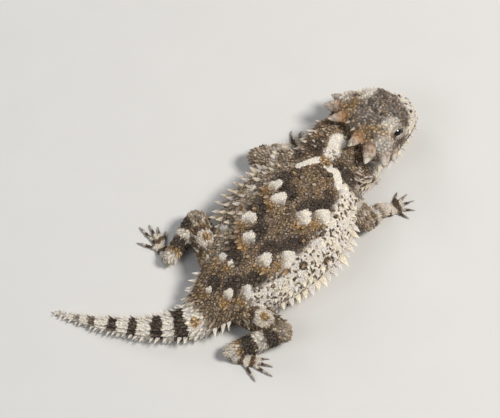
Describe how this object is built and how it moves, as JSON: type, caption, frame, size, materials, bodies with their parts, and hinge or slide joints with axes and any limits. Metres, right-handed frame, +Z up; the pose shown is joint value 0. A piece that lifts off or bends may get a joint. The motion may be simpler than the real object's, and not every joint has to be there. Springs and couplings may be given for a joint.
{
  "type": "horned lizard model",
  "caption": "Life-size still model of a horned lizard lying flat, with head horns, back spines, spiny side fringes and a short banded tail.",
  "frame": {"origin": "centre of the footprint on the floor", "axes": "+X runs forward along the trunk, +Y is the animal's left, +Z is up"},
  "size_m": [0.1082, 0.0572, 0.0173],
  "materials": {
    "skin": "dry scaly skin, matt",
    "horn": "keratin horn, dull",
    "eye": "wet dark eye, glossy"
  },
  "bodies": {
    "root": {"eye_left": "eye", "eye_right": "eye", "foot_left": "skin", "foot_right": "skin", "forearm_left": "skin", "forearm_right": "skin", "hand_left": "skin", "hand_right": "skin", "head": "skin", "horn_occipital_left": "horn", "horn_occipital_right": "horn", "horn_temporal_front_left": "horn", "horn_temporal_front_right": "horn", "horn_temporal_middle_left": "horn", "horn_temporal_middle_right": "horn", "horn_temporal_rear_left": "horn", "horn_temporal_rear_right": "horn", "neck": "skin", "shank_left": "skin", "shank_right": "skin", "tail_base": "skin", "tail_middle": "skin", "tail_tip": "skin", "thigh_left": "skin", "thigh_right": "skin", "torso": "skin", "upper_arm_left": "skin", "upper_arm_right": "skin"}
  },
  "joints": []
}
